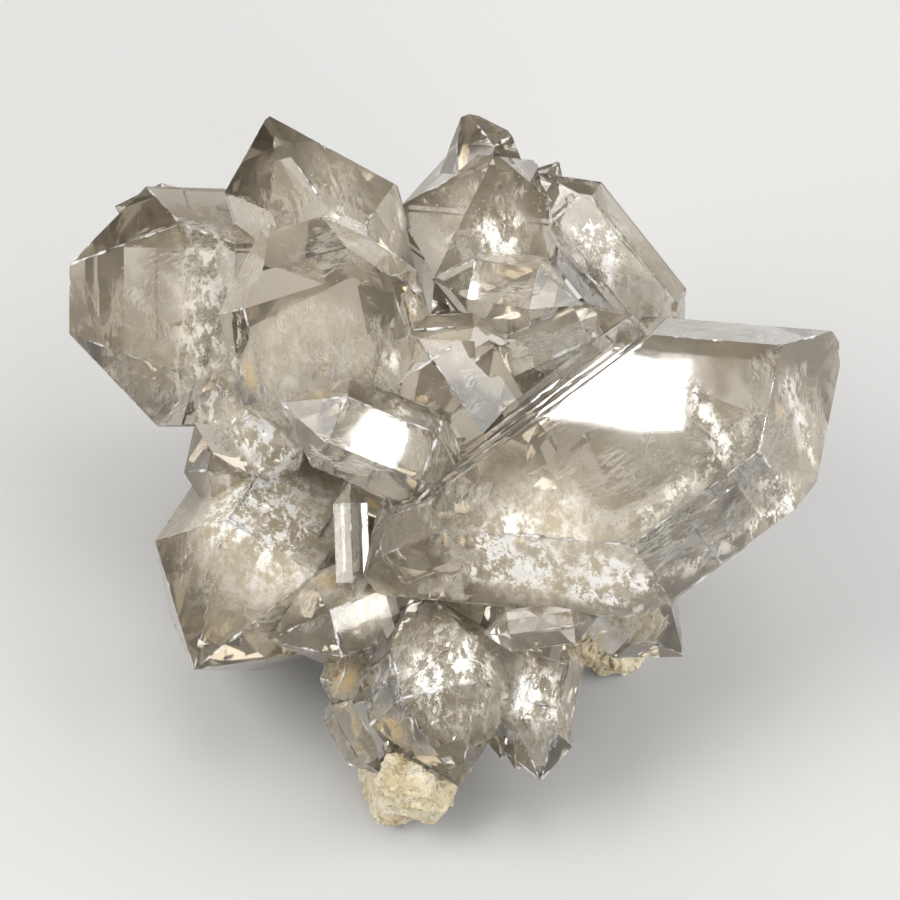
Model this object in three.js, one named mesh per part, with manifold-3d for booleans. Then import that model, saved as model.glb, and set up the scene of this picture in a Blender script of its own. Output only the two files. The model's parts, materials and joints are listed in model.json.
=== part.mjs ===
// A cluster of intergrown quartz crystals on a remnant of its host rock.
// Millimetres, +Z up. The origin is on the table under the middle of the cluster.
import * as THREE from 'three';
import { ConvexGeometry } from 'three/addons/geometries/ConvexGeometry.js';
import { SimplexNoise } from 'three/addons/math/SimplexNoise.js';
import { mergeVertices } from 'three/addons/utils/BufferGeometryUtils.js';
import Module from 'manifold-3d';

const wasm = await Module();
wasm.setup();

// Driving dimensions, in millimetres and degrees.
const displayLean = 40; // the display face leans this far up from the table
const faceMiddle = [0, 0, 47]; // the middle of the display face, above the table
const seatGap = 0.3; // between the rock and the crystals that it carries
const rhombLean = 51.8; // from a crystal's axis to the normal of a pointed end's face
const sideCount = 6; // quartz is six sided

const quartzColor = 0xcfc6b4;
const quartzRoughness = 0.12;
const rockColor = 0xd9c9a0;
const rockRoughness = 0.9;

const weldDistance = 1e-4; // corners nearer than this are one corner
const cornerSpacing = 0.01; // the least distance between two corners of a crystal
const slack = 1e-6; // by which a corner may lie past a plane that passes through it
const parallelLimit = 1e-4; // of the determinant of three planes that meet in no point

const radians = THREE.MathUtils.degToRad;

// A crystal is placed on the display face: across to the right, up the face, and out of it.
// Its axis has a bearing on the face, from the right and turning left, and a rise out of it.
// Azimuths round the axis start at the side that looks straight out, and grow to its left.
function crystalFrame({ bearing, rise }) {
  const b = radians(bearing);
  const r = radians(rise);
  const axis = new THREE.Vector3(Math.cos(r) * Math.cos(b), Math.cos(r) * Math.sin(b), Math.sin(r));
  const left = new THREE.Vector3(-Math.sin(b), Math.cos(b), 0);
  const out = new THREE.Vector3().crossVectors(axis, left);
  return { axis, left, out };
}

// One reach stands for all six faces of a set that grew evenly.
function reachOf(reaches, i) {
  return Array.isArray(reaches) ? reaches[i] : reaches;
}

// The six sides, and six faces at each pointed end, as planes a distance from the crystal's heart.
function crystalPlanes(crystal, clearance) {
  const { axis, left, out } = crystalFrame(crystal);
  const planes = [];
  for (let i = 0; i < sideCount; i += 1) {
    const azimuth = radians(crystal.turn + (i * 360) / sideCount);
    const side = new THREE.Vector3()
      .addScaledVector(out, Math.cos(azimuth))
      .addScaledVector(left, Math.sin(azimuth));
    planes.push({ normal: side, reach: reachOf(crystal.sides, i) + clearance });
    for (const [sign, reaches] of [[1, crystal.tip], [-1, crystal.tail]]) {
      const normal = side.clone().multiplyScalar(Math.sin(radians(rhombLean)));
      normal.addScaledVector(axis, sign * Math.cos(radians(rhombLean)));
      planes.push({ normal, reach: reachOf(reaches, i) + clearance });
    }
  }
  return planes;
}

// The point where three planes meet, or nothing where they have none.
function meetingPoint(a, b, c) {
  const matrix = new THREE.Matrix3();
  matrix.set(...a.normal.toArray(), ...b.normal.toArray(), ...c.normal.toArray());
  if (Math.abs(matrix.determinant()) < parallelLimit) {
    return [];
  }
  return [new THREE.Vector3(a.reach, b.reach, c.reach).applyMatrix3(matrix.invert())];
}

// The corners of the convex body that the planes bound.
function boundedCorners(planes) {
  const corners = [];
  planes.forEach((a, i) => {
    planes.slice(i + 1).forEach((b, j) => {
      planes.slice(i + j + 2).forEach((c) => {
        for (const corner of meetingPoint(a, b, c)) {
          const inside = planes.every((plane) => plane.normal.dot(corner) < plane.reach + slack);
          if (inside && corners.every((other) => other.distanceTo(corner) > cornerSpacing)) {
            corners.push(corner);
          }
        }
      });
    });
  });
  return corners;
}

function toSolid(geometry) {
  geometry.deleteAttribute('normal');
  geometry.deleteAttribute('uv');
  const merged = mergeVertices(geometry, weldDistance);
  return new wasm.Manifold(new wasm.Mesh({
    numProp: 3,
    vertProperties: new Float32Array(merged.attributes.position.array),
    triVerts: new Uint32Array(merged.index.array),
  }));
}

function toGeometry(solid) {
  const { vertProperties, triVerts } = solid.getMesh();
  const geometry = new THREE.BufferGeometry();
  geometry.setAttribute('position', new THREE.BufferAttribute(vertProperties, 3));
  geometry.setIndex(new THREE.BufferAttribute(triVerts, 1));
  geometry.computeVertexNormals();
  return geometry;
}

function crystalSolid(crystal, clearance = 0) {
  const geometry = new ConvexGeometry(boundedCorners(crystalPlanes(crystal, clearance)));
  geometry.translate(...crystal.at);
  return toSolid(geometry);
}

const crystals = {
  great: {
    at: [25, -3.3, 12], bearing: 36.5, rise: 0, turn: 14,
    sides: [12.6, 15.2, 16.5, 14, 21.8, 20],
    tip: [31.4, 24, 25.2, 30.6, 34, 29.3],
    tail: [26, 32, 34, 33, 24, 18],
  },
  pointed: {
    at: [-20, 32.3, -10], bearing: 106, rise: 30, turn: 0,
    sides: 12.2,
    tip: [19.9, 20.5, 20.3, 17.4, 15.6, 16.2],
    tail: 24,
  },
  left: {
    at: [-39.2, 24.5, -16], bearing: 180, rise: 33, turn: 0,
    sides: [17.2, 17.8, 17.8, 17.2, 17.2, 17.2],
    tip: [17.9, 21.4, 21.4, 17.9, 22.3, 22.3],
    tail: 22,
  },
  leftKnob: {
    at: [-48.5, 39, -16], bearing: 165, rise: 20, turn: 10,
    sides: 5.2,
    tip: 5.6,
    tail: 6,
  },
  milky: {
    at: [-20.3, 20, 4], bearing: 105, rise: 2, turn: 0,
    sides: [8, 14.7, 14.7, 8, 14.7, 14.7],
    tip: [13.8, 15.9, 16, 14, 15, 15.2],
    tail: 17,
  },
  lowerLeft: {
    at: [-29.3, -15.3, -20], bearing: 238, rise: 42, turn: 0,
    sides: [15, 15, 16, 15, 15, 15],
    tip: 20.8,
    tail: 20,
  },
  centre: {
    at: [-12, 1.4, 15], bearing: 158, rise: 4, turn: -6,
    sides: [7.3, 7, 6.6, 7, 7.3, 7.3],
    tip: 10.5,
    tail: 11,
  },
  brown: {
    at: [-3, 17, 6], bearing: 4, rise: 0, turn: 5,
    sides: 4.6,
    tip: 8,
    tail: 8,
  },
  brownStep: {
    at: [1.5, 7, 5], bearing: 124, rise: 0, turn: 25,
    sides: 8.2,
    tip: 12,
    tail: 12,
  },
  wing: {
    at: [16, 16, 0], bearing: 25, rise: 5, turn: 20,
    sides: 6,
    tip: 9.5,
    tail: 10,
  },
  small: {
    at: [9.5, 26.3, 0], bearing: 350, rise: 10, turn: 10,
    sides: 6,
    tip: 8,
    tail: 8,
  },
  topBack: {
    at: [5.4, 36, -16], bearing: 84, rise: 55, turn: 0,
    sides: [14, 13.2, 11.8, 11, 12, 14],
    tip: [15, 14.4, 14, 14, 15, 15],
    tail: 15,
  },
  topRight: {
    at: [26.3, 32.5, -12], bearing: 129, rise: 10, turn: 0,
    sides: [5, 6.4, 6.4, 5, 6.4, 6.4],
    tip: 11.5,
    tail: 13,
  },
  crown: {
    at: [6, 45.6, -9], bearing: 112, rise: 10, turn: 12,
    sides: [6, 7, 7, 6, 6, 6],
    tip: [7, 7, 7, 7, 8.6, 8],
    tail: 6,
  },
  crownRight: {
    at: [14.5, 42, -14], bearing: 60, rise: 15, turn: 0,
    sides: 4.6,
    tip: 5,
    tail: 6,
  },
  link: {
    at: [-36, 0, -16], bearing: 258, rise: 10, turn: 0,
    sides: 7,
    tip: 9,
    tail: 9,
  },
  linkFront: {
    at: [-33, 6, -6], bearing: 120, rise: 30, turn: 0,
    sides: 8,
    tip: 9,
    tail: 10,
  },
  column: {
    at: [-16.3, -15.8, 3], bearing: 92, rise: 0, turn: 30,
    sides: 2.8,
    tip: 6.5,
    tail: 6,
  },
  lowerMiddle: {
    at: [-17, -27, -4], bearing: 200, rise: 15, turn: 20,
    sides: 7.5,
    tip: 9,
    tail: 9,
  },
  foot: {
    at: [-1.7, -40, 0], bearing: 282, rise: 20, turn: 0,
    sides: 11,
    tip: 10.8,
    tail: 12,
  },
  footOlive: {
    at: [-16.5, -37.5, -5], bearing: 250, rise: 10, turn: 15,
    sides: 4.2,
    tip: 5,
    tail: 6,
  },
  footLeft: {
    at: [-16, -46.6, -4], bearing: 300, rise: 10, turn: 0,
    sides: 3.4,
    tip: 5.6,
    tail: 5,
  },
  footLow: {
    at: [-1.6, -53, -4], bearing: 25, rise: 10, turn: 10,
    sides: 2.8,
    tip: 3.8,
    tail: 3.4,
  },
  footRight: {
    at: [13.8, -40.5, -2], bearing: 258, rise: 8, turn: 10,
    sides: 6.6,
    tip: 8.4,
    tail: 9,
  },
  footBetween: {
    at: [9.2, -40.6, -6], bearing: 268, rise: 14, turn: 15,
    sides: 6,
    tip: [6.6, 6.8, 7.2, 7.6, 7.4, 6.8],
    tail: 13,
  },
  footTip: {
    at: [14.5, -47, -2], bearing: 274, rise: 35, turn: 0,
    sides: 5,
    tip: 6,
    tail: 7,
  },
  ledge: {
    at: [15, -29, 6], bearing: 8, rise: 0, turn: 20,
    sides: 3.4,
    tip: 6,
    tail: 6,
  },
  lowerRight: {
    at: [30, -27.4, -8], bearing: 318, rise: -6, turn: 10,
    sides: [6.4, 7, 7, 7, 6.6, 6.2],
    tip: [7.6, 8, 8, 7.6, 7, 6.8],
    tail: 17,
  },
  heart: {
    at: [-2, 1, -20], bearing: 60, rise: 60, turn: 0,
    sides: 18,
    tip: 23,
    tail: 15,
  },
  footNeck: {
    at: [3, -26, -13], bearing: 275, rise: -5, turn: 0,
    sides: 8.5,
    tip: 10,
    tail: 12,
  },
  backLeft: {
    at: [-26, 16, -36], bearing: 205, rise: -35, turn: 15,
    sides: 11,
    tip: 17,
    tail: 16,
  },
  backMiddle: {
    at: [-5, 16, -34], bearing: 75, rise: -20, turn: 0,
    sides: 12,
    tip: 15.5,
    tail: 16,
  },
  backRight: {
    at: [21, 12, -30], bearing: 30, rise: -25, turn: 0,
    sides: 10,
    tip: 14.5,
    tail: 15,
  },
  behindGreat: {
    at: [29, 10, -16], bearing: 100, rise: -15, turn: 0,
    sides: 7,
    tip: 9,
    tail: 12,
  },
  underGreat: {
    at: [33, -2, -14], bearing: 20, rise: -20, turn: 10,
    sides: 8,
    tip: 13,
    tail: 13,
  },
};

// Growth steps: a low terrace raised on one side of a crystal, parallel to it. Its edges stand in
// from the sides before and after, and from the faces at the tip and the tail.
const growthSteps = [
  { on: 'great', side: 1, height: 0.5, before: 1.2, after: 0.4, tip: 0.4, tail: 0.4 },
  { on: 'great', side: 1, height: 0.9, before: 3, after: 1.6, tip: 3, tail: 1.2 },
  { on: 'great', side: 1, height: 1.3, before: 5.4, after: 2.6, tip: 9, tail: 2 },
  { on: 'great', side: 5, height: 0.4, before: 0.4, after: 2.2, tip: 3.4, tail: 6 },
  { on: 'great', side: 4, height: 0.5, before: 0.4, after: 0.4, tip: 7, tail: 0.4 },
  { on: 'great', side: 2, height: 0.6, before: 1.6, after: 0.4, tip: 5, tail: 0.4 },
  { on: 'left', side: 0, height: 0.4, before: 0.4, after: 0.4, tip: 5, tail: 0.4 },
  { on: 'left', side: 0, height: 0.8, before: 1.2, after: 0.6, tip: 7.4, tail: 0.4 },
  { on: 'left', side: 1, height: 0.5, before: 0.4, after: 0.4, tip: 4, tail: 0.4 },
  { on: 'left', side: 3, height: 0.5, before: 0.4, after: 0.4, tip: 4, tail: 3 },
  { on: 'lowerLeft', side: 0, height: 0.4, before: 0.4, after: 2.4, tip: 4, tail: 0.4 },
  { on: 'lowerLeft', side: 4, height: 0.5, before: 0.4, after: 0.4, tip: 3, tail: 0.4 },
  { on: 'milky', side: 5, height: 0.4, before: 0.4, after: 1.6, tip: 2, tail: 0.4 },
  { on: 'foot', side: 5, height: 0.4, before: 0.4, after: 0.4, tip: 2.4, tail: 0.4 },
  { on: 'footRight', side: 0, height: 0.3, before: 1.4, after: 0.4, tip: 1.6, tail: 0.4 },
  { on: 'topRight', side: 0, height: 0.3, before: 0.4, after: 1.2, tip: 0.4, tail: 2 },
  { on: 'topBack', side: 3, height: 0.5, before: 0.4, after: 0.4, tip: 3, tail: 0.4 },
  { on: 'backMiddle', side: 0, height: 0.5, before: 0.4, after: 1.4, tip: 2.4, tail: 0.4 },
];
const stepClearance = 0.4; // by which the faces that a terrace doesn't reach stand in

// A terrace is the same crystal with one side further out and the others further in.
function steppedCrystal({ on, side, height, before, after, tip, tail }) {
  const crystal = crystals[on];
  const indices = [...Array(sideCount).keys()];
  const change = { 0: height, 1: -after, [sideCount - 1]: -before };
  return {
    ...crystal,
    sides: indices.map((i) => {
      const around = (i - side + sideCount) % sideCount;
      return reachOf(crystal.sides, i) + (change[around] ?? -stepClearance);
    }),
    tip: indices.map((i) => reachOf(crystal.tip, i) - tip),
    tail: indices.map((i) => reachOf(crystal.tail, i) - tail),
  };
}

const grown = [...Object.values(crystals), ...growthSteps.map(steppedCrystal)];

// The same chances on every run, from a plain congruential generator.
const generatorFactor = 16807;
const generatorModulus = 2147483647;
let generatorState = 7;
function chance() {
  generatorState = (generatorState * generatorFactor) % generatorModulus;
  return generatorState / generatorModulus;
}

const displayFace = new THREE.Group();
displayFace.rotation.x = radians(displayLean);
displayFace.position.set(...faceMiddle);
displayFace.updateMatrixWorld();

function joined(solids) {
  return solids.reduce((whole, solid) => whole.add(solid));
}

// Chips knocked out of the crystals' edges: how many on a crystal, and how large.
const chippedEdges = {
  great: { count: 10, size: 1.1 },
  pointed: { count: 5, size: 0.9 },
  left: { count: 14, size: 1.4 },
  milky: { count: 6, size: 1 },
  lowerLeft: { count: 14, size: 1.5 },
  centre: { count: 5, size: 0.8 },
  topBack: { count: 10, size: 1.5 },
  topRight: { count: 8, size: 1.2 },
  crown: { count: 6, size: 1.2 },
  linkFront: { count: 6, size: 1.1 },
  foot: { count: 16, size: 1.7 },
  footLeft: { count: 3, size: 0.9 },
  footRight: { count: 8, size: 1.2 },
  footTip: { count: 3, size: 0.9 },
  lowerRight: { count: 8, size: 1.4 },
  backLeft: { count: 8, size: 1.5 },
  backMiddle: { count: 8, size: 1.5 },
  backRight: { count: 8, size: 1.5 },
};
const chipSpread = 0.45; // by which a chip's size may differ from the size given, as a share
const chipFlatness = 0.55; // of a chip's depth to its width
const chipStandoff = 0.35; // from a chip's middle out to the edge, as a share of its size
const edgeMargin = 0.12; // the share of an edge at each end that has no chip

// Each edge of a crystal, as its two corners: they lie on the same two planes.
function crystalEdges(crystal) {
  const planes = crystalPlanes(crystal, 0);
  const corners = boundedCorners(planes);
  const edges = [];
  corners.forEach((a, i) => {
    corners.slice(i + 1).forEach((b) => {
      const shared = planes.filter(({ normal, reach }) => (
        reach - normal.dot(a) < cornerSpacing && reach - normal.dot(b) < cornerSpacing
      ));
      if (shared.length > 1) {
        edges.push([a, b]);
      }
    });
  });
  return edges;
}

function chipShape(edge, size) {
  const along = THREE.MathUtils.lerp(edgeMargin, 1 - edgeMargin, chance());
  const middle = edge[0].clone().lerp(edge[1], along);
  middle.addScaledVector(middle.clone().normalize(), chipStandoff * size);
  const geometry = new THREE.OctahedronGeometry(size * (1 + chipSpread * (2 * chance() - 1)));
  geometry.scale(1, 1, chipFlatness);
  geometry.rotateX(Math.PI * chance());
  geometry.rotateY(Math.PI * chance());
  geometry.rotateZ(Math.PI * chance());
  geometry.translate(...middle.toArray());
  return geometry;
}

function chippedCrystal(name) {
  const crystal = crystals[name];
  const edges = crystalEdges(crystal);
  const { count, size } = chippedEdges[name] ?? { count: 0 };
  let solid = crystalSolid(crystal);
  for (let i = 0; i < count; i += 1) {
    const geometry = chipShape(edges[Math.floor(chance() * edges.length)], size);
    geometry.translate(...crystal.at);
    solid = solid.subtract(toSolid(geometry));
  }
  return solid;
}

const quartz = joined([
  ...Object.keys(crystals).map(chippedCrystal),
  ...growthSteps.map((step) => crystalSolid(steppedCrystal(step))),
]);

// The rock is a few rough lumps, modelled on the table: middle and half sizes along X, Y and Z.
const lumps = [
  { middle: [-12, 16, 5], half: [27, 19, 19], detail: 8 },
  { middle: [16, 13, 3], half: [22, 16, 17], detail: 8 },
  { middle: [-6, -6, 2], half: [14, 14, 9], detail: 5 },
  { middle: [25, -4, 4], half: [9, 8, 8], detail: 5 },
  { middle: [-8, -25, 3], half: [8.5, 18.5, 10], detail: 6 },
  { middle: [-6.6, -41.6, 10], half: [6.6, 5.2, 8.4], detail: 4 },
];
const waveHeight = 2.6; // of the lumps' broad swells
const waveGrain = 0.07; // swells a millimetre
const roughHeight = 0.8; // of the small breaks on them
const roughGrain = 0.28;

const noise = new SimplexNoise({ random: chance });

function grainAt(point, grain) {
  return noise.noise3d(point.x * grain, point.y * grain, point.z * grain);
}

function lumpSolid({ middle, half, detail }) {
  const centre = new THREE.Vector3(...middle);
  const stretch = new THREE.Vector3(...half);
  const geometry = new THREE.IcosahedronGeometry(1, detail);
  geometry.deleteAttribute('normal');
  geometry.deleteAttribute('uv');
  const merged = mergeVertices(geometry, weldDistance);
  const place = merged.attributes.position;
  const point = new THREE.Vector3();
  for (let i = 0; i < place.count; i += 1) {
    point.fromBufferAttribute(place, i).multiply(stretch);
    const swell = waveHeight * grainAt(point, waveGrain) + roughHeight * grainAt(point, roughGrain);
    point.setLength(point.length() + swell).add(centre);
    place.setXYZ(i, point.x, point.y, point.z);
  }
  return toSolid(merged);
}

// The rock lies above the table and below this height, which is more than it reaches.
const rockSpan = 200;

// What is below the table is cut off flat, and the crystals' seats are cut out of the rock.
function rockSolid() {
  const span = new THREE.BoxGeometry(rockSpan, rockSpan, rockSpan).translate(0, 0, rockSpan / 2);
  const inset = joined(grown.map((crystal) => crystalSolid(crystal, seatGap)));
  const seats = toSolid(toGeometry(inset).applyMatrix4(displayFace.matrixWorld));
  return joined(lumps.map(lumpSolid)).intersect(toSolid(span)).subtract(seats);
}

function named(name, solid, color, roughness) {
  const mesh = new THREE.Mesh(
    toGeometry(solid),
    new THREE.MeshStandardMaterial({ color, roughness, metalness: 0 }),
  );
  mesh.name = name;
  return mesh;
}

displayFace.add(named('quartz_crystals', quartz, quartzColor, quartzRoughness));

const group = new THREE.Group();
group.add(displayFace);
group.add(named('matrix_rock', rockSolid(), rockColor, rockRoughness));

export default group;
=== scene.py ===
import json
import math
import random

import bmesh
import bpy
from mathutils import Matrix, Vector, noise
from mathutils.bvhtree import BVHTree

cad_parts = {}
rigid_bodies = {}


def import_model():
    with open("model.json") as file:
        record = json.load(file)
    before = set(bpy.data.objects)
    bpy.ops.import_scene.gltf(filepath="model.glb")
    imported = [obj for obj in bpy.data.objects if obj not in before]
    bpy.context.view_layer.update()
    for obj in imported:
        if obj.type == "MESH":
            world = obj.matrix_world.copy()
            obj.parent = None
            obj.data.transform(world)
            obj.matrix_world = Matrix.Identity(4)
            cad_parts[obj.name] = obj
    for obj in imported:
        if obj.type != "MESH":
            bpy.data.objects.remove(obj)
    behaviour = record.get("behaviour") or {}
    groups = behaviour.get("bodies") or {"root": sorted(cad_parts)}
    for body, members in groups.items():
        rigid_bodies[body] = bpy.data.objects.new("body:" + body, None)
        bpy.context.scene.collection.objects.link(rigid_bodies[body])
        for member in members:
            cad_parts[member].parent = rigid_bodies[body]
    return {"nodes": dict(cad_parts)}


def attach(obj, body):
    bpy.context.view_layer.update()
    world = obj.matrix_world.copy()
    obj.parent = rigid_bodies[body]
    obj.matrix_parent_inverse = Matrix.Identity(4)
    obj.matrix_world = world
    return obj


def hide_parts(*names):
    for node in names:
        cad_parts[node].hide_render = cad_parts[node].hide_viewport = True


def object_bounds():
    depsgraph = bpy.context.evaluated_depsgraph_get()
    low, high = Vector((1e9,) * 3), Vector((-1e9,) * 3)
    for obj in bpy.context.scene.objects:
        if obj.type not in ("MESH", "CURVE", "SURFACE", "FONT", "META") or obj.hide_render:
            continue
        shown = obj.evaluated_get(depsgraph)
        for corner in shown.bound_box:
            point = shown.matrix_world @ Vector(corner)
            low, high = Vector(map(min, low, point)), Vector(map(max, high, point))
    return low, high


for leftover in list(bpy.data.objects):
    bpy.data.objects.remove(leftover)

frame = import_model()
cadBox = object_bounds()
quartzNode = frame["nodes"]["quartz_crystals"]
rockNode = frame["nodes"]["matrix_rock"]
print("frame loaded")

mm = 0.001

# Places on the specimen are given on its display face, in millimetres: across, up it and out of it.
display = {
    "lean": 40,  # degrees that the display face is tipped up from level
    "height": 47,
    "clear": 60,  # mm: no crystal stands out of the display face as far as this
}


def displayTurn():
    return Matrix.Rotation(math.radians(display["lean"]), 3, "X")


def placeOn(across, up, out):
    return displayTurn() @ Vector((across, up, out)) * mm + Vector((0, 0, display["height"] * mm))


def wayOn(bearing, rise):  # a direction on the display face, and its rise out of it
    b = math.radians(bearing)
    r = math.radians(rise)
    way = Vector((math.cos(r) * math.cos(b), math.cos(r) * math.sin(b), math.sin(r)))
    return displayTurn() @ way


# ---- shader writing

class Wire:  # a socket that can be used in sums
    def __init__(self, board, socket):
        self.board = board
        self.socket = socket

    def maths(self, operation, first, second=0.0, clamp=False):
        settings = {"operation": operation, "use_clamp": clamp}
        return self.board.add("Math", settings, {0: first, 1: second})

    def __add__(self, other):
        return self.maths("ADD", self, other)

    def __radd__(self, other):
        return self.maths("ADD", other, self)

    def __sub__(self, other):
        return self.maths("SUBTRACT", self, other)

    def __rsub__(self, other):
        return self.maths("SUBTRACT", other, self)

    def __mul__(self, other):
        return self.maths("MULTIPLY", self, other)

    def __rmul__(self, other):
        return self.maths("MULTIPLY", other, self)

    def clamped(self):
        return self.maths("ADD", self, 0.0, True)

    def most(self, other):
        return self.maths("MAXIMUM", self, other)

    def between(self, low, high):  # 0 below low, 1 above high, smooth between
        return self.board.add("MapRange", {"interpolation_type": "SMOOTHSTEP"}, {
            "Value": self, "From Min": low, "From Max": high})


class Board:  # one material, or the room's light, and its nodes
    def __init__(self, name, shelf=bpy.data.materials):
        self.owner = shelf.new(name)
        self.owner.use_nodes = True
        self.tree = self.owner.node_tree
        self.tree.nodes.clear()

    def add(self, kind, settings=None, values=None, out=0):
        node = self.tree.nodes.new("ShaderNode" + kind)
        for key, value in (settings or {}).items():
            if key == "stops":
                while len(node.color_ramp.elements) < len(value):
                    node.color_ramp.elements.new(0.5)
                for element, (position, color) in zip(node.color_ramp.elements, value):
                    element.position = position
                    element.color = (*color, 1)
            else:
                setattr(node, key, value)
        for key, value in (values or {}).items():
            if isinstance(value, Wire):
                self.tree.links.new(value.socket, node.inputs[key])
            elif value is not None:
                node.inputs[key].default_value = value
        return Wire(self, node.outputs[out]) if node.outputs else None

    def place(self):
        return self.add("TexCoord", out="Object")

    def stretch(self, vector, by):
        return self.add("VectorMath", {"operation": "MULTIPLY"}, {0: vector, 1: by})

    def noise(self, vector, scale, detail=4.0, rough=0.55, twist=0.0):
        return self.add("TexNoise", {}, {"Vector": vector, "Scale": scale, "Detail": detail,
                                         "Roughness": rough, "Distortion": twist})

    def mixColor(self, amount, first, second):  # 6 and 7 are the node's two colour sockets
        return self.add("Mix", {"data_type": "RGBA"}, {0: amount, 6: first, 7: second}, out=2)

    def finish(self, surface, volume=None, castThrough=True):
        self.add("OutputMaterial", {}, {"Surface": surface, "Volume": volume})
        self.owner.use_transparent_shadow = castThrough
        return self.owner


def linkPiece(name, data):
    piece = bpy.data.objects.new(name, data)
    bpy.context.collection.objects.link(piece)
    return piece


def dress(item, material):
    item.data.materials.clear()
    item.data.materials.append(material)


# ---- clear quartz

quartzLook = {
    "ior": 1.544,
    "bodyColor": (0.66, 0.59, 0.46, 1),
    "bodyDensity": 24.0,
    "gloss": 0.02,
    "coat": 0.6,
    "blur": 0.025,  # what is seen through the crystals is a little soft
    "haze": 0.17,  # the even milkiness of every crystal
    "faceTone": 0.30,  # by which one face may be milkier than the next
    "hazeColor": (0.62, 0.53, 0.375, 1),
    "frostColor": (0.96, 0.94, 0.90, 1),
    "stainColor": (0.62, 0.43, 0.16, 1),
    "wispStretch": (1.0, 0.8, 0.5),
    "wispScale": 420,
    "wispGrain": (4, 0.8, 0.2),  # detail, roughness and twist
    "whiteRange": (0.46, 0.58),  # the share of the wisps that is white where the quartz is broken
    "milkRange": (0.36, 0.74),
    "stainRange": (0.34, 0.50),
    "evenMilk": 0.75,  # share of the milkiness that covers evenly
    "wispyMilk": 0.4,  # and what the wisps add to it
    "brokenMilk": 0.8,  # cover of the white wisps where the quartz is broken
    "stainCover": 0.9,
    "weld": 0.002,  # mm
    "plainStep": 3.0,  # mm between points on a plain face
    "brokenStep": 1.0,  # and where the quartz is broken or banded
    "brokenFrom": 0.3,  # the shares from which a place counts as broken or banded
    "bandedFrom": 0.05,
    "passes": (2.6, 1.7, 1.0, 1.0, 1.0, 1.0),  # the step is reached from coarse to fine
    "slack": 1.2,  # by which an edge may be longer than the step
    "swell": 0.008,  # mm: the faces are nearly, but not quite, flat
    "swellScale": 90,
    "breakDepth": 0.42,  # mm
    "breakScale": 1e6,  # so fine that every point draws a depth of its own
    "breakPatches": (160, 0.5, 1.2),  # scale, level and contrast
    "milkPatches": (75, 0.85, 0.9),
    "tonePatches": (2.3, 90),  # by the way a face looks, and by how far out it lies
    "edgeTurn": 8,  # degrees at which two faces meet in an edge
    "milkyCore": 0.35,  # the share of a spot's reach that has its full strength
    "brokenCore": 0.4,
    # across, up, out, reach, strength of the milky skin
    "milkySpots": [
        (-45, 22, -6, 19, 0.32),  # left crystal
        (-37, 20, -2, 8, 0.45),
        (-20, 38, -2, 20, 0.50),  # pointed crystal
        (-22, 15, 7, 15, 0.62),  # milky crystal
        (-33, 4, -2, 10, 0.72),  # link crystals
        (-30, -12, -2, 20, 0.72),  # lower left crystal
        (-25, -4, 4, 8, 0.65),
        (-34, -27, -10, 15, 0.50),
        (-12, 0, 16, 11, 0.52),  # centre crystal
        (-1, 17, 8, 9, 0.40),
        (8, 12, 4, 10, 0.35),
        (5, 34, 0, 15, 0.32),  # top group
        (28, 28, -8, 20, 0.28),
        (12, 24, 4, 10, 0.28),
        (-13, -27, 4, 7, 0.45),
        (14.5, -28, 4, 7, 0.40),
        (1, -37, 4, 13, 0.28),  # foot crystals
        (14, -40, 2, 9, 0.30),
        (50, -4, 16, 12, 0.40),  # great crystal
        (16, -18, 20, 20, 0.68),
        (36, 6, 20, 16, 0.05),
        (31, -27, -8, 8, 0.35),
        (-30, 14, -28, 20, 0.35),  # behind
        (24, 4, -24, 20, 0.35),
        (0, 30, -26, 18, 0.30),
    ],
    # two ends, reach and strength of the white bands on the faces
    "bands": [
        ((36.8, 13.2), (44.5, 0.3), 2.6, 0.75),
        ((44.5, 0.3), (57.0, -9.2), 2.8, 0.85),
        ((31.0, -11.4), (44.5, 0.3), 2.4, 0.60),
        ((44.5, 0.3), (54.8, 10.6), 2.2, 0.60),
        ((54.8, 10.6), (59.8, -1.0), 2.4, 0.70),
        ((26.0, 19.0), (50.0, 19.0), 2.0, 0.45),
        ((31.0, -22.0), (54.0, -10.0), 3.2, 0.80),
        ((-40.0, 34.0), (-41.0, 9.0), 6.0, 0.50),
        ((-8.6, 39.0), (-6.2, 23.0), 1.6, 0.95),
        ((-35.0, 21.0), (-38.0, 10.0), 2.2, 0.90),
        ((-33.0, 4.0), (-25.0, -2.0), 3.0, 0.85),
        ((-9.5, 15.0), (-8.0, 6.0), 1.8, 0.80),
    ],
    # across, up, reach of the yellow stain
    "stainSpots": [
        (-33.0, 12.5, 5.0),
        (-21.5, 9.0, 2.5),
        (-13, -9, 4.0),
        (-6.5, 22, 2.5),
        (-20, -22, 3.0),
        (24, -31, 5),
        (-10, -46, 6),
        (-18, -38, 5),
    ],
    # across, up, out, reach of the broken, granular places
    "brokenSpots": [
        (0, -37, 8, 10),
        (14, -41, 4, 7),
        (-31, -9, -2, 12),
        (-33, 3, 0, 6),
        (8, -18, 18, 12),
        (26, -20, 16, 10),
        (-60, 14, -14, 7),
        (8, 36, -2, 6),
        (24, 33, -8, 8),
        (32, -28, -8, 7),
        (-10, 55, -12, 4),
        (-30, -30, -16, 6),
    ],
}


def patchiness(point, scale, level, contrast):
    return level + contrast * noise.noise(point * scale)


def spotList(spots, core):  # middle, reach of the core, full reach and strength, in metres
    return [(placeOn(*spot[:3]), spot[3] * core * mm, spot[3] * mm, spot[4] if len(spot) > 4 else 1)
            for spot in spots]


def spotShare(point, spots):
    best = 0
    for middle, core, reach, strength in spots:
        gap = (point - middle).length
        if gap < reach:
            fall = max(0, (gap - core) / (reach - core))
            best = max(best, strength * (1 - fall * fall * (3 - 2 * fall)))
    return best


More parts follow.
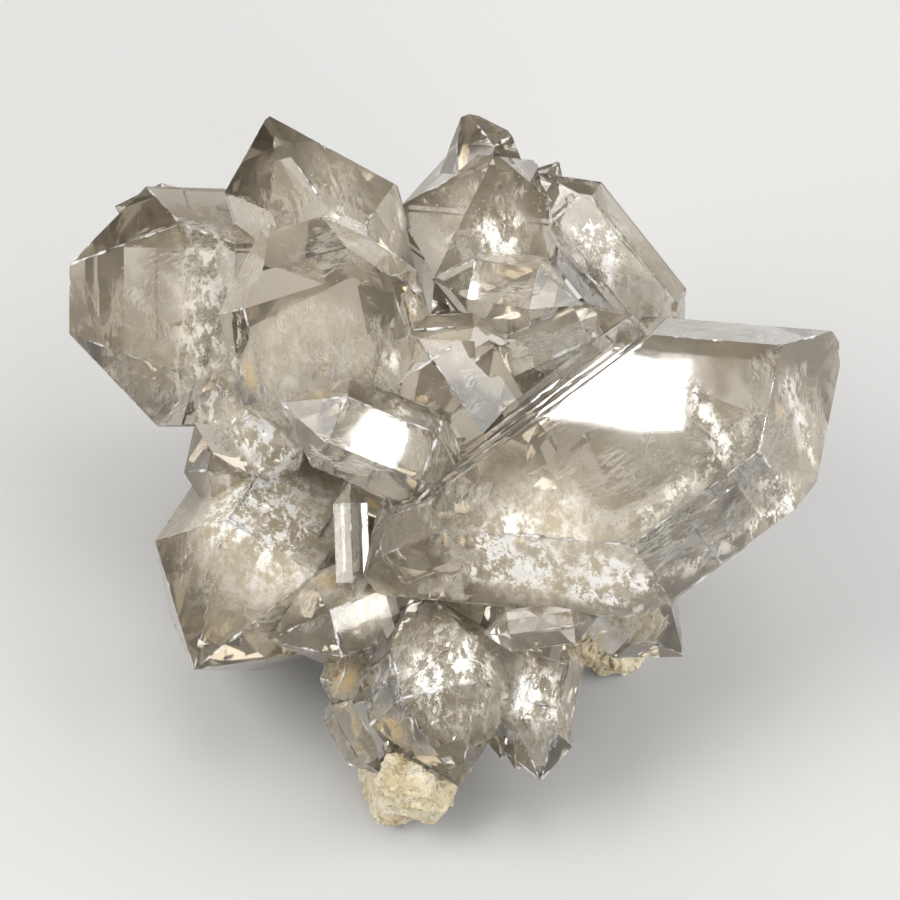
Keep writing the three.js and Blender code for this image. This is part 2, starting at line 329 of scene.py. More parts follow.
quartzTree = BVHTree.FromPolygons(
    [vertex.co.copy() for vertex in quartzNode.data.vertices],
    [tuple(polygon.vertices) for polygon in quartzNode.data.polygons],
)


def frontPoint(across, up):  # the surface's place, looking square at the display face
    start = placeOn(across, up, display["clear"])
    hit = quartzTree.ray_cast(start, placeOn(across, up, 0) - start)[0]
    return hit or placeOn(across, up, 0)


def bandShare(point, bands):  # how far inside the nearest band a point is
    best = 0
    for start, end, reach, strength in bands:
        line = end - start
        share = max(0, min(1, (point - start).dot(line) / line.length_squared))
        gap = (point - start - line * share).length / reach
        if gap < 1:
            best = max(best, strength * (1 - gap * gap))
    return best


def weldedQuartz():
    work = bmesh.new()
    work.from_mesh(quartzNode.data)
    bmesh.ops.remove_doubles(work, verts=work.verts, dist=quartzLook["weld"] * mm)
    return work


def makeCrystals():  # the same crystals with more points, for swells, breaks and milkiness
    look = quartzLook
    milky = spotList(look["milkySpots"], look["milkyCore"])
    broken = spotList(look["brokenSpots"], look["brokenCore"])
    stained = [(frontPoint(across, up), 0, reach * mm, 1)
               for across, up, reach in look["stainSpots"]]
    bands = [(frontPoint(*start), frontPoint(*end), reach * mm, strength)
             for start, end, reach, strength in look["bands"]]
    work = weldedQuartz()

    def brokenShare(point):
        patchy = patchiness(point, *look["breakPatches"])
        return spotShare(point, broken) * max(0, min(1, patchy * 2))

    def busy(point):
        return (brokenShare(point) > look["brokenFrom"]
                or bandShare(point, bands) > look["bandedFrom"])

    for step in look["passes"]:
        long = []
        for edge in work.edges:
            length = edge.calc_length() / mm
            if length > look["brokenStep"] * step * look["slack"]:
                middle = (edge.verts[0].co + edge.verts[1].co) / 2
                limit = look["brokenStep"] if busy(middle) else look["plainStep"]
                if length > limit * step * look["slack"]:
                    long.append(edge)
        bmesh.ops.subdivide_edges(work, edges=long, cuts=1)
        bmesh.ops.triangulate(work, faces=[face for face in work.faces if len(face.verts) > 3])
    work.normal_update()
    work.faces.index_update()

    planes = {face.index: (face.normal.copy(), face.normal.dot(face.verts[0].co))
              for face in work.faces}
    for vertex, normal in [(vertex, vertex.normal.copy()) for vertex in work.verts]:
        here = vertex.co.copy()
        push = look["swell"] * (noise.noise(here * look["swellScale"]) - 1)
        push -= look["breakDepth"] * brokenShare(here) * abs(noise.cell(here * look["breakScale"]))
        vertex.co = here + normal * push * mm
    mesh = bpy.data.meshes.new("crystalDetail")
    work.to_mesh(mesh)
    work.free()

    milk = [spotShare(vertex.co, milky) * patchiness(vertex.co, *look["milkPatches"])
            for vertex in mesh.vertices]
    white = [min(1, brokenShare(vertex.co) + bandShare(vertex.co, bands))
             for vertex in mesh.vertices]
    stain = [spotShare(vertex.co, stained) for vertex in mesh.vertices]
    values = []
    byFacing, byOffset = look["tonePatches"]
    for polygon in mesh.polygons:
        facing, offset = planes[polygon.index]
        tone = look["faceTone"] * noise.noise(facing * byFacing + Vector((offset * byOffset, 0, 0)))
        values += [max(0, look["haze"] + tone + milk[mesh.loops[loop].vertex_index] * (1 + tone))
                   for loop in polygon.loop_indices]
    mesh.attributes.new("milk", "FLOAT", "CORNER").data.foreach_set("value", values)
    mesh.attributes.new("stain", "FLOAT", "POINT").data.foreach_set("value", stain)
    mesh.attributes.new("white", "FLOAT", "POINT").data.foreach_set("value", white)
    mesh.polygons.foreach_set("use_smooth", [True] * len(mesh.polygons))
    mesh.set_sharp_from_angle(angle=math.radians(look["edgeTurn"]))
    return linkPiece("crystal_detail", mesh)


def quartzMaterial():
    look = quartzLook
    board = Board("clearSmokyQuartz")
    milk = board.add("Attribute", {"attribute_name": "milk"}, out="Fac")
    stain = board.add("Attribute", {"attribute_name": "stain"}, out="Fac")
    white = board.add("Attribute", {"attribute_name": "white"}, out="Fac")
    place = board.stretch(board.place(), look["wispStretch"])
    wisps = board.noise(place, look["wispScale"], *look["wispGrain"])
    granular = white * wisps.between(*look["whiteRange"])
    bright = (granular + milk * wisps.between(*look["milkRange"])).clamped()
    cloudy = milk * (bright * look["wispyMilk"] + look["evenMilk"]) + granular * look["brokenMilk"]
    stained = stain * wisps.between(*look["stainRange"])
    cover = board.mixColor(bright, look["hazeColor"], look["frostColor"])
    cover = board.mixColor(stained, cover, look["stainColor"])

    clear = board.add("BsdfPrincipled", {"distribution": "GGX"}, {
        "Base Color": (1, 1, 1, 1), "Roughness": look["blur"], "IOR": look["ior"],
        "Transmission Weight": 1.0, "Coat Weight": look["coat"], "Coat Roughness": look["gloss"],
        "Coat IOR": look["ior"]})
    frost = board.add("BsdfPrincipled", {"distribution": "GGX"}, {
        "Base Color": cover, "Roughness": look["gloss"], "IOR": look["ior"]})
    covered = cloudy.most(stained * look["stainCover"])
    surface = board.add("MixShader", {}, {0: covered, 1: clear, 2: frost})
    volume = board.add("VolumeAbsorption", {}, {
        "Color": look["bodyColor"], "Density": look["bodyDensity"]})
    return board.finish(surface, volume)


crystals = makeCrystals()
dress(crystals, quartzMaterial())
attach(crystals, "root")
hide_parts("quartz_crystals")
print("crystals made", len(crystals.data.polygons))


# ---- what lies inside the crystals: veils and healed cracks

probe = {
    "way": Vector((0.3113, 0.2271, 0.9228)).normalized(),  # along no crystal's face
    "mostFaces": 40,
    "nudge": 0.001,  # mm past a face that was met
}


def depthInside(point):  # how deep a point lies in the quartz, or less than 0 outside it
    faces = 0
    start = point.copy()
    while faces < probe["mostFaces"]:
        spot = quartzTree.ray_cast(start, probe["way"])[0]
        if spot is None:
            break
        faces += 1
        start = spot + probe["way"] * probe["nudge"] * mm
    nearest = quartzTree.find_nearest(point)[3]
    return nearest if faces % 2 else -nearest


veilPlan = {
    "color": (0.97, 0.94, 0.88, 1),
    "steps": 26,
    "ripple": 2.2,  # mm
    "waves": 1.3,  # across a sheet's half size
    "waveGrain": (0.9, 2.1, 4),  # smoothness, gap and number of the layers of waves
    "lobes": (1.5, 0.3),  # scale and place of the noise that makes the rim uneven
    "rimReach": 1.05,
    "rimUneven": 0.35,
    "whiteness": 3.0,
    "patchScale": 0.22,
    "patchLevel": 0.6,
    "patchContrast": 1.6,
    "streakStretch": (0.3, 1.2, 1.0),
    "streakGrain": (1.0, 3, 0.78, 0.2),  # scale, detail, roughness and twist
    "streakRange": (0.42, 0.60),
    "roughness": 0.3,
    # by which one sheet's noise is set off from the next one's
    "apart": {"waves": 3.7, "lobes": 1.9, "patches": 5.1, "streaks": 7.3},
    "skin": 0.5,  # mm kept clear under a face
    "fadeDepth": 1.6,  # mm under that in which a veil fades
    # middle across, up, out; bearing and rise of the sheet's normal; half sizes;
    # bearing of the streaks; strength
    "sheets": [
        # great crystal
        ((36, 3, 17), (35, 35), (16, 11), 36, 0.55),
        ((45, 2, 14), (80, 20), (13, 10), 36, 0.75),
        ((49, -2, 16), (0, 20), (9, 12), 100, 0.8),
        ((22, -8, 16), (120, 50), (18, 9), 30, 0.6),
        ((14, -16, 14), (100, 40), (17, 8), 20, 0.8),
        ((8, -19, 16), (60, 60), (12, 7), 15, 0.8),
        ((30, -12, 20), (300, 45), (18, 7), 36, 0.7),
        ((40, -8, 12), (310, 40), (16, 8), 36, 0.8),
        ((54, 8, 8), (10, 30), (8, 11), 90, 0.7),
        ((4, -10, 14), (200, 40), (9, 9), 60, 0.6),
        ((44.7, -0.6, 17), (0, 90), (15, 1.6), -39, 1.0),
        ((46.2, -6.5, 16), (0, 90), (19, 1.5), 62, 1.0),
        ((58.0, 1.5, 15), (0, 90), (9, 1.3), 100, 1.0),
        ((48.8, -12.5, 17), (0, 90), (8, 1.5), 16, 1.0),
        # left crystal
        ((-42, 24, -4), (175, 15), (5, 15), 0, 0.95),
        ((-40, 23, -8), (170, 25), (7, 15), 0, 0.9),
        ((-50, 20, -12), (200, 45), (12, 12), 70, 0.45),
        ((-47, 30, -8), (120, 40), (11, 8), 20, 0.5),
        ((-52, 12, -14), (250, 40), (10, 8), 60, 0.5),
        # pointed crystal
        ((-22, 40, -2), (100, 60), (9, 8), 105, 0.4),
        ((-12, 34, 0), (20, 30), (4, 11), 90, 0.85),
        ((-18, 32, 0), (95, 40), (11, 5), 15, 0.75),
        # milky crystal
        ((-24, 14, 7), (120, 70), (12, 12), 100, 0.55),
        ((-16, 16, 6), (60, 60), (11, 11), 80, 0.5),
        ((-30, 10, 3), (190, 50), (8, 10), 100, 0.7),
        ((-14, 8, 6), (300, 50), (9, 8), 120, 0.5),
        # lower left crystal
        ((-32, -10, -4), (120, 65), (14, 9), 40, 0.85),
        ((-28, -14, -8), (60, 55), (13, 11), 70, 0.7),
        ((-38, -18, -10), (200, 50), (10, 12), 80, 0.55),
        ((-30, -26, -10), (260, 40), (11, 7), 10, 0.6),
        ((-20, -22, -6), (300, 60), (8, 9), 60, 0.6),
        # link crystals
        ((-34, 4, -4), (120, 55), (8, 8), 60, 0.9),
        ((-32, 6, 0), (60, 60), (7, 6), 20, 0.8),
        # centre crystal
        ((-14, -1, 16), (100, 60), (9, 4), 160, 0.5),
        ((-6, 1, 15), (40, 40), (5, 5), 100, 0.6),
        # top group
        ((4, 34, -4), (60, 55), (9, 8), 60, 0.6),
        ((8, 40, -8), (120, 50), (8, 8), 100, 0.6),
        ((22, 32, -8), (40, 50), (10, 5), 130, 0.7),
        ((28, 28, -10), (100, 50), (9, 6), 130, 0.7),
        ((32, 22, -12), (20, 50), (6, 8), 130, 0.7),
        ((9, 26, 2), (60, 60), (7, 4), 0, 0.45),
        ((16, 17, 2), (100, 50), (9, 4), 20, 0.7),
        ((2, 10, 7), (120, 50), (7, 6), 30, 0.5),
        # foot crystals
        ((-2, -36, 6), (90, 60), (8, 8), 80, 0.8),
        ((0, -44, 5), (60, 50), (7, 6), 100, 0.8),
        ((4, -38, 4), (20, 50), (6, 8), 90, 0.7),
        ((-8, -40, 2), (140, 50), (6, 6), 60, 0.6),
        ((14, -40, 1), (60, 60), (4, 7), 80, 0.6),
        ((14, -47, 0), (100, 60), (4, 4), 80, 0.6),
        ((31, -29, -7), (60, 50), (6, 5), 60, 0.6),
    ],
}


def sheetAxes(middle, facing, streak):
    normal = wayOn(*facing)
    along = wayOn(streak, 0)
    along = (along - normal * along.dot(normal)).normalized()
    return placeOn(*middle), normal, along, normal.cross(along)


def sheetRipple(u, v, number):
    waves = veilPlan["waves"]
    here = Vector((u * waves, v * waves, number * veilPlan["apart"]["waves"]))
    return noise.fractal(here, *veilPlan["waveGrain"]) * veilPlan["ripple"]


def sheetPoints(middle, facing, half, streak, number, steps):
    centre, normal, along, across = sheetAxes(middle, facing, streak)
    lobeScale, lobePlace = veilPlan["lobes"]
    apart = number * veilPlan["apart"]["lobes"]
    rows = []
    for i in range(steps + 1):
        for j in range(steps + 1):
            u = 2 * i / steps - 1
            v = 2 * j / steps - 1
            lobe = Vector((math.atan2(v, u) * lobeScale, apart, lobePlace))
            reach = veilPlan["rimReach"] + veilPlan["rimUneven"] * noise.noise(lobe)
            point = centre + along * (u * half[0] * mm) + across * (v * half[1] * mm)
            point += normal * (sheetRipple(u, v, number) * mm)
            rim = 1 - min(1, math.hypot(u, v) * reach) ** 3
            depth = depthInside(point) / mm - veilPlan["skin"]
            fade = rim * max(0, min(1, depth / veilPlan["fadeDepth"]))
            rows.append((point, u * half[0], v * half[1], fade))
    return rows


def sheetFaces(rows, first, steps):  # only where the sheet lies inside the quartz
    faces = []
    for i in range(steps):
        for j in range(steps):
            low = i * (steps + 1) + j
            corners = [low, low + steps + 1, low + steps + 2, low + 1]
            if all(rows[corner][3] > 0 for corner in corners):
                faces.append([first + corner for corner in corners])
    return faces


def sheetMesh(name, points, faces, fades, grains):
    used = sorted({corner for face in faces for corner in face})
    order = {old: new for new, old in enumerate(used)}
    mesh = bpy.data.meshes.new(name)
    mesh.from_pydata([points[i] for i in used], [], [[order[c] for c in face] for face in faces])
    fade = mesh.attributes.new("fade", "FLOAT", "POINT")
    fade.data.foreach_set("value", [fades[i] for i in used])
    if grains:
        grain = mesh.attributes.new("grain", "FLOAT_VECTOR", "POINT")
        grain.data.foreach_set("vector", [part for i in used for part in grains[i]])
    mesh.polygons.foreach_set("use_smooth", [True] * len(mesh.polygons))
    return linkPiece(name, mesh)


def makeVeils():
    plan = veilPlan
    points, faces, fades, grains = [], [], [], []
    steps = plan["steps"]
    scale = plan["patchScale"]
    for number, (middle, facing, half, streak, strength) in enumerate(plan["sheets"]):
        rows = sheetPoints(middle, facing, half, streak, number, steps)
        first = len(points)
        for point, u, v, fade in rows:
            points.append(point)
            here = Vector((u * scale, v * scale, number * plan["apart"]["patches"]))
            patch = plan["patchLevel"] + plan["patchContrast"] * noise.noise(here)
            fades.append(fade * strength * plan["whiteness"] * max(0, min(1, patch)))
            grains.append((u, v, number * plan["apart"]["streaks"]))
        faces.extend(sheetFaces(rows, first, steps))
    return sheetMesh("inner_veils", points, faces, fades, grains)


def veilMaterial():
    board = Board("whiteVeil")
    fade = board.add("Attribute", {"attribute_name": "fade"}, out="Fac")
    grain = board.add("Attribute", {"attribute_name": "grain"}, out="Vector")
    place = board.stretch(grain, veilPlan["streakStretch"])
    streaks = board.noise(place, *veilPlan["streakGrain"])
    alpha = (streaks.between(*veilPlan["streakRange"]) * fade).clamped()
    surface = board.add("BsdfPrincipled", {}, {
        "Base Color": veilPlan["color"], "Roughness": veilPlan["roughness"], "Alpha": alpha})
    return board.finish(surface, castThrough=False)


fleckPlan = {
    "seed": 11,
    "perSquare": 3.0,  # flecks on a square millimetre of sheet
    "spread": 0.42,  # share of a sheet's half size
    "drift": 1.6,  # mm off the sheet, and its scatter
    "driftSpread": 0.5,
    "small": 0.12,  # mm
    "large": 0.55,
    "skin": 0.3,  # mm kept clear under a face
    "patches": 260,
    "bareBelow": -0.05,  # patches with less than this have no flecks
    "corners": (0.1, 1.7, 3.0, 4.6),  # radians
    "shortest": 0.6,  # share of a fleck's size that every corner reaches
    "squash": 0.6,
    "shadeScale": 500,
    "shadeRange": (0.35, 0.6),
    "roughness": 0.25,
    "metallic": 0.35,
    "dull": (0.86, 0.80, 0.68, 1),
    "bright": (1, 0.99, 0.96, 1),
}


def makeFlecks():  # small flat breaks that glint
    plan = fleckPlan
    dice = random.Random(plan["seed"])
    points, faces = [], []
    for number, (middle, facing, half, streak, strength) in enumerate(veilPlan["sheets"]):
        centre, normal, along, across = sheetAxes(middle, facing, streak)
        area = 4 * half[0] * half[1]
        for each in range(int(area * plan["perSquare"] * strength ** 2)):
            u = max(-1, min(1, dice.gauss(0, plan["spread"])))
            v = max(-1, min(1, dice.gauss(0, plan["spread"])))
            spot = centre + along * (u * half[0] * mm) + across * (v * half[1] * mm)
            drift = dice.gauss(0, plan["driftSpread"]) * plan["drift"]
            spot += normal * ((sheetRipple(u, v, number) + drift) * mm)
            reach = plan["small"] + (plan["large"] - plan["small"]) * dice.random() ** 3
            if noise.noise(spot * plan["patches"]) < plan["bareBelow"]:
                continue
            if depthInside(spot) < (reach + plan["skin"]) * mm:
                continue
            tilt = Vector((dice.gauss(0, 1), dice.gauss(0, 1), dice.gauss(0, 1))).normalized()
            side = tilt.orthogonal().normalized()
            other = tilt.cross(side) * plan["squash"]
            first = len(points)
            for turn in plan["corners"]:
                far = reach * dice.uniform(plan["shortest"], 1.0) * mm
                points.append(spot + side * (math.cos(turn) * far) + other * (math.sin(turn) * far))
            faces.append((first, first + 1, first + 2, first + 3))
    mesh = bpy.data.meshes.new("innerFlecks")
    mesh.from_pydata(points, [], faces)
    return linkPiece("inner_flecks", mesh)


def fleckMaterial():
    plan = fleckPlan
    board = Board("brightFleck")
    shade = board.noise(board.place(), plan["shadeScale"], 0)
    tone = board.mixColor(shade.between(*plan["shadeRange"]), plan["dull"], plan["bright"])
    surface = board.add("BsdfPrincipled", {}, {
        "Base Color": tone, "Roughness": plan["roughness"], "Metallic": plan["metallic"]})
    return board.finish(surface)


veils = makeVeils()
dress(veils, veilMaterial())
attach(veils, "root")
print("veils made", len(veils.data.polygons))

flecks = makeFlecks()
dress(flecks, fleckMaterial())
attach(flecks, "root")
print("flecks made", len(flecks.data.polygons))


# ---- the crystals' edges, finely chipped and frosted, and painted edge highlights

# white strips on every sharp edge: partly chipped frost, partly painted highlight
edgeFrostAndHighlightPlan = {
    "least": 22,  # degrees that the faces turn at an edge that is marked
    "step": 0.7,  # mm
    "width": 0.5,
    "lift": 0.02,
    "wearAndHighlight": 0.2,
    "wornAndHighlightPatches": 130,
    "chips": 500,
    "chipWearAndHighlight": 0.9,
    # white of the strips: the frost's own colour and the painted highlight
    "color": (0.97, 0.95, 0.90, 1),
    "grain": (900, 1, 0.6),  # scale, detail and roughness
    "grainRange": (0.30, 0.55),
    "roughness": 0.2,
}


def insideBox(point):  # no further out than the crystals themselves
    return Vector([max(cadBox[0][i], min(cadBox[1][i], point[i])) for i in range(3)])


# strips along the sharp edges, partly chipped frost and partly painted highlight
def makeFrostAndHighlightEdges():
    plan = edgeFrostAndHighlightPlan
    work = weldedQuartz()
    work.normal_update()
    points, faces, fades = [], [], []
    for edge in work.edges:
        turn = edge.calc_face_angle_signed(0) if edge.is_manifold else 0
        if turn < math.radians(plan["least"]):
            continue
        start = edge.verts[0].co
        along = edge.verts[1].co - start
        steps = max(1, int(along.length / (plan["step"] * mm)))
        middle = (edge.link_faces[0].normal + edge.link_faces[1].normal).normalized()
        for face in edge.link_faces:
            inward = face.normal.cross(along).normalized()
            if inward.dot(face.calc_center_median() - start) < 0:
                inward.negate()
            for i in range(steps + 1):
                base = start + along * (i / steps)
                # how wide the white strip is here: worn, chipped frost and painted highlight alike
                patch = noise.noise(base * plan["wornAndHighlightPatches"])
                chips = plan["chipWearAndHighlight"] * noise.noise(base * plan["chips"])
                wornAndHighlit = max(0, plan["wearAndHighlight"] + patch + chips)
                rim = base + inward * (plan["width"] * wornAndHighlit * mm) + face.normal * plan["lift"] * mm
                points += [insideBox(base + middle * plan["lift"] * mm), insideBox(rim)]
                fades += [min(1, wornAndHighlit), 0]
                if i < steps:
                    first = len(points) - 2
                    faces.append((first, first + 1, first + 3, first + 2))
    work.free()
    return sheetMesh("frosted_edges_and_painted_highlights", points, faces, fades, None)


# the strips' white: partly frost, partly painted highlight
def frostAndHighlightEdgeMaterial():
    board = Board("frostedEdgeAndPaintedHighlight")
    fade = board.add("Attribute", {"attribute_name": "fade"}, out="Fac")
    grain = board.noise(board.place(), *edgeFrostAndHighlightPlan["grain"])
    surface = board.add("BsdfPrincipled", {}, {
        "Base Color": edgeFrostAndHighlightPlan["color"], "Roughness": edgeFrostAndHighlightPlan["roughness"],
        "Alpha": (fade * grain.between(*edgeFrostAndHighlightPlan["grainRange"])).clamped()})
    return board.finish(surface, castThrough=False)


edges = makeFrostAndHighlightEdges()
dress(edges, frostAndHighlightEdgeMaterial())
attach(edges, "root")
print("edges made", len(edges.data.polygons))


# ---- dark brown sheets that darken the quartz at the listed places

darkSheetPlan = {
    # the dark brown of the sheets
    "color": (0.30, 0.21, 0.11, 1),
    "grain": (110, 1, 0.55),  # scale, detail and roughness
    "grainRange": (0.3, 0.6),
    "roughness": 0.6,
    "steps": 18,
    "firstNumber": 60,  # so that no dark sheet has a veil's ripple
    # middle across, up, out; bearing and rise of the sheet's normal; half sizes; strength
    "darkPlaces": [
        ((-1, -16, 12), (90, 60), (9, 8), 0.7),
        ((47, 12, 12), (45, 60), (9, 7), 0.75),
        ((48, -4, 14), (330, 50), (8, 7), 0.75),
        ((38, 8, 14), (60, 50), (9, 5), 0.6),
        ((22, -13, 14), (110, 50), (10, 5), 0.55),
        ((-52, 22, -14), (180, 50), (10, 12), 0.7),
        ((-47, 33, -12), (120, 50), (8, 5), 0.65),
        ((-22, 38, -6), (100, 50), (9, 7), 0.35),
        ((-4, 17, 5), (90, 60), (9, 4), 0.5),
        ((2, 10, 5), (120, 60), (6, 6), 0.5),
        ((-34, -20, -10), (240, 50), (9, 8), 0.35),
        ((6, 40, -10), (90, 50), (9, 7), 0.65),
        ((26, 30, -12), (60, 50), (10, 6), 0.75),
        ((31, 24, -12), (60, 50), (7, 8), 0.6),
        ((0, -40, 0), (90, 60), (8, 8), 0.35),
        ((14, -38, -3), (90, 60), (5, 7), 0.45),
        ((31, -28, -9), (60, 60), (6, 5), 0.45),
    ],
}


# dark brown sheets inside the quartz at the listed places
def makeDarkSheets():
    points, faces, fades = [], [], []
    steps = darkSheetPlan["steps"]
    for number, (middle, facing, half, strength) in enumerate(darkSheetPlan["darkPlaces"]):
        rows = sheetPoints(middle, facing, half, 0, number + darkSheetPlan["firstNumber"], steps)
        first = len(points)
        for point, u, v, fade in rows:
            points.append(point)
            fades.append(fade * strength)
        faces.extend(sheetFaces(rows, first, steps))
    return sheetMesh("inner_dark_sheets", points, faces, fades, None)


def darkSheetMaterial():
    board = Board("darkBrownSheet")
    fade = board.add("Attribute", {"attribute_name": "fade"}, out="Fac")
    sheetGrain = board.noise(board.place(), *darkSheetPlan["grain"])
    alpha = (fade * sheetGrain.between(*darkSheetPlan["grainRange"])).clamped()
    surface = board.add("BsdfPrincipled", {}, {
        "Base Color": darkSheetPlan["color"], "Roughness": darkSheetPlan["roughness"], "Alpha": alpha})
    return board.finish(surface, castThrough=False)


darkSheets = makeDarkSheets()
dress(darkSheets, darkSheetMaterial())
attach(darkSheets, "root")
print("smoke made", len(darkSheets.data.polygons))


# ---- host rock

rockLook = {
    "weld": 0.001,  # mm
    "voxel": 0.62,
    "lumpScale": 300,
    "lumpGrain": (0.8, 2.2, 5),  # smoothness, gap and number of the layers of lumps
    "lumpLevel": 0.6,
    "roughHeight": 1.0,  # mm
    "pitScale": 900,
    "pitDepth": 0.35,
    "outermost": 0.1,
    "foot": 0.3,  # mm above the table that stays as it is
    "pale": (0.80, 0.74, 0.58),
    "cream": (0.68, 0.57, 0.36),
    "rust": (0.36, 0.22, 0.09),
    "toneAt": (0.34, 0.44, 0.58),  # where rust, cream and pale stand in the mottling
    "broad": (160, 3, 0.65, 0.5),  # scale, detail, roughness and twist
    "broadShare": 0.75,
    "grains": (1100, 2, 0.7),
    "grainShare": 0.25,
    "crumbScale": 800.0,
    "speckRange": (0.60, 0.68),
    "speckCover": 0.8,
    "bumpHeight": 0.7,  # mm
    "roughness": 0.85,
}


def makeRock():
    look = rockLook
    copy = rockNode.data.copy()
    copy.name = "rockDetail"
    rock = linkPiece("rock_detail", copy)
    bpy.context.view_layer.objects.active = rock
    weld = rock.modifiers.new("weld", "WELD")
    weld.merge_threshold = look["weld"] * mm
    remesh = rock.modifiers.new("remesh", "REMESH")
    remesh.mode = "VOXEL"
    remesh.voxel_size = look["voxel"] * mm
    depsgraph = bpy.context.evaluated_depsgraph_get()
    mesh = bpy.data.meshes.new_from_object(rock.evaluated_get(depsgraph))
    rock.modifiers.clear()
    rock.data = mesh
    outward = [vertex.normal.copy() for vertex in mesh.vertices]
    for vertex, normal in zip(mesh.vertices, outward):
        here = vertex.co.copy()
        lumps = noise.fractal(here * look["lumpScale"], *look["lumpGrain"])
        pits = noise.noise(here * look["pitScale"])
        push = (lumps - look["lumpLevel"]) * look["roughHeight"] * mm
        push -= max(0, pits) * look["pitDepth"] * mm
        if here.z > look["foot"] * mm:
            vertex.co = here + normal * min(push, look["outermost"] * mm)
        if vertex.co.z < 0.0:
            vertex.co.z = 0.0
    mesh.polygons.foreach_set("use_smooth", [False] * len(mesh.polygons))
    return rock


def rockMaterial():
    look = rockLook
    board = Board("creamHostRock")
    place = board.place()
    broad = board.noise(place, *look["broad"])
    grains = board.noise(place, *look["grains"])
    crumbs = board.add("TexVoronoi", {}, {
        "Vector": place, "Scale": look["crumbScale"]}, out="Distance")
    stops = list(zip(look["toneAt"], (look["rust"], look["cream"], look["pale"])))
    mottling = broad * look["broadShare"] + grains * look["grainShare"]
    color = board.add("ValToRGB", {"stops": stops}, {"Fac": mottling})
    specks = grains.between(*look["speckRange"]) * look["speckCover"]
    color = board.mixColor(specks, color, (*look["rust"], 1))
    normal = board.add("Bump", {}, {
        "Height": grains - crumbs, "Strength": 1.0, "Distance": look["bumpHeight"] * mm})
    surface = board.add("BsdfPrincipled", {}, {
        "Base Color": color, "Roughness": look["roughness"], "Normal": normal})
    return board.finish(surface)


rock = makeRock()
dress(rock, rockMaterial())
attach(rock, "root")
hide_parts("matrix_rock")
print("rock made", len(rock.data.polygons))


# ---- studio

studio = {
    "floorColor": (0.58, 0.575, 0.565, 1),
    "floorRoughness": 0.8,
    "worldLow": (0.24, 0.24, 0.25),
    "worldHigh": (0.75, 0.75, 0.77),
    "worldStrength": 0.5,
    # azimuth from the front to the right, elevation, distance, width, height, power, color
    "lamps": {
        "sideLeft": (-80, 40, 1.2, 0.95, 0.95, 12, (1, 0.99, 0.97)),
        "sideRight": (85, 36, 1.2, 0.85, 0.85, 8, (0.98, 0.99, 1)),
        "front": (30, 20, 1.2, 0.5, 0.4, 6, (1, 0.99, 0.97)),
        "back": (180, 38, 1.3, 1.0, 0.5, 5, (1, 0.98, 0.96)),
        "top": (170, 82, 1.2, 0.6, 0.6, 2.5, (1, 1, 1)),
    },
    # lamps that show as a bright patch in one face: the patch's middle on the display face,
    # its tilt, width and height in mm
    "glints": {
        "greatFace": ((26.4, 9.6, 22.9), -4, 25, 11),
        "centreFace": ((-12.2, 1.2, 22.0), -24, 8, 6.5),
        "smallFace": ((2.2, 26.6, 9.0), 70, 5, 3),
    },
    "glintDistance": 1.6,
    "glintPower": 40,
    "floorReach": 3.0,
    "sensorWidth": 36,
    "cameraDistance": 900,
    "cameraElevation": 50,
    "frameWidth": 150,  # mm across the picture at the display face
}


def wayTo(azimuth, elevation):
    a = math.radians(azimuth)
    e = math.radians(elevation)
    return Vector((math.sin(a) * math.cos(e), -math.cos(a) * math.cos(e), math.sin(e)))


def middlePoint():
    return Vector((0, 0, display["height"] * mm))


def eyePoint():
    return middlePoint() + wayTo(0, studio["cameraElevation"]) * studio["cameraDistance"] * mm


def addLamp(name, width, height, power):
    lamp = bpy.data.lights.new(name, "AREA")
    lamp.shape = "RECTANGLE"
    lamp.size = width
    lamp.size_y = height
    lamp.energy = power
    return linkPiece(name, lamp)


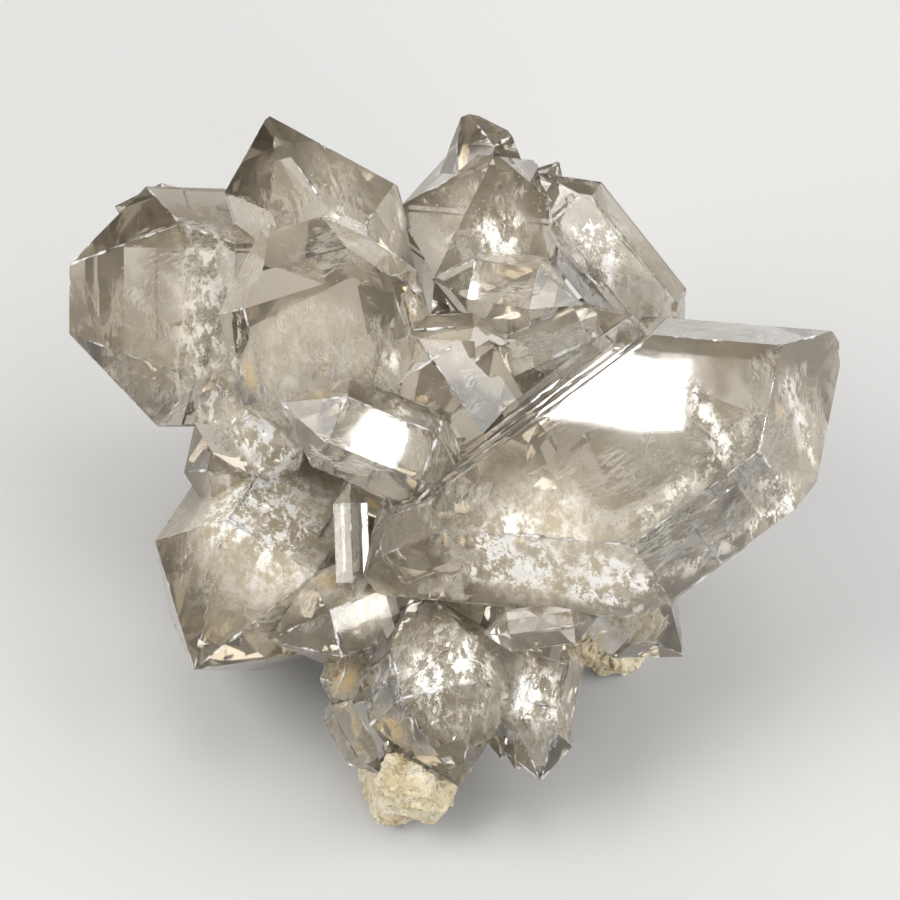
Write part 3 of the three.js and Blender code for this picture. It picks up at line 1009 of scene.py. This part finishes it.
def makeGlints():
    far = studio["cameraDistance"] * mm
    share = (far + studio["glintDistance"]) / far
    for name, (middle, tilt, width, height) in studio["glints"].items():
        spot, normal = quartzTree.find_nearest(placeOn(*middle))[:2]
        seen = (eyePoint() - spot).normalized()
        way = normal * (2 * normal.dot(seen)) - seen
        sizes = (width * mm * share, height * mm * share)
        holder = addLamp(name, *sizes, studio["glintPower"] * sizes[0] * sizes[1] * math.pi)
        level = wayOn(tilt, 0)
        level = level - normal * (2 * normal.dot(level))
        level = (level - way * level.dot(way)).normalized()
        turn = Matrix((level, way.cross(level), way)).transposed()
        shift = Matrix.Translation(spot + way * studio["glintDistance"])
        holder.matrix_world = shift @ turn.to_4x4()
        holder.visible_diffuse = False
        holder.visible_transmission = False


def makeLamps():
    for name, values in studio["lamps"].items():
        azimuth, elevation, distance, width, height, power, color = values
        holder = addLamp(name, width, height, power)
        holder.data.color = color
        way = wayTo(azimuth, elevation)
        holder.location = middlePoint() + way * distance
        holder.rotation_euler = way.to_track_quat("Z", "Y").to_euler()


def makeRoom():
    room = Board("studioRoom", bpy.data.worlds)
    way = room.add("TexCoord", out="Generated")
    height = room.add("SeparateXYZ", {}, {0: way}, out="Z")
    stops = [(0.0, studio["worldLow"]), (1.0, studio["worldHigh"])]
    tone = room.add("ValToRGB", {"stops": stops}, {"Fac": height})
    light = room.add("Background", {}, {"Color": tone, "Strength": studio["worldStrength"]})
    room.add("OutputWorld", {}, {"Surface": light})
    bpy.context.scene.world = room.owner


def makeFloor():
    mesh = bpy.data.meshes.new("paleFloor")
    reach = studio["floorReach"]
    corners = [(-reach, -reach, 0), (reach, -reach, 0), (reach, reach, 0), (-reach, reach, 0)]
    mesh.from_pydata(corners, [], [(0, 1, 2, 3)])
    floor = linkPiece("pale_floor", mesh)
    board = Board("palePaper")
    surface = board.add("BsdfPrincipled", {}, {
        "Base Color": studio["floorColor"], "Roughness": studio["floorRoughness"],
        "Specular IOR Level": 0.0})
    dress(floor, board.finish(surface))


def makeCamera():
    camera = bpy.data.cameras.new("studioCamera")
    camera.sensor_width = studio["sensorWidth"]
    camera.lens = studio["sensorWidth"] * studio["cameraDistance"] / studio["frameWidth"]
    holder = linkPiece("studio_camera", camera)
    way = wayTo(0, studio["cameraElevation"])
    holder.location = eyePoint()
    holder.rotation_euler = way.to_track_quat("Z", "Y").to_euler()
    scene = bpy.context.scene
    scene.camera = holder
    scene.view_settings.view_transform = "Standard"
    scene.cycles.use_light_tree = False
    scene.cycles.max_bounces = 9
    scene.cycles.diffuse_bounces = 1
    scene.cycles.transmission_bounces = 8
    scene.cycles.transparent_max_bounces = 8


makeGlints()
makeLamps()
makeRoom()
makeFloor()
makeCamera()
print("studio set")
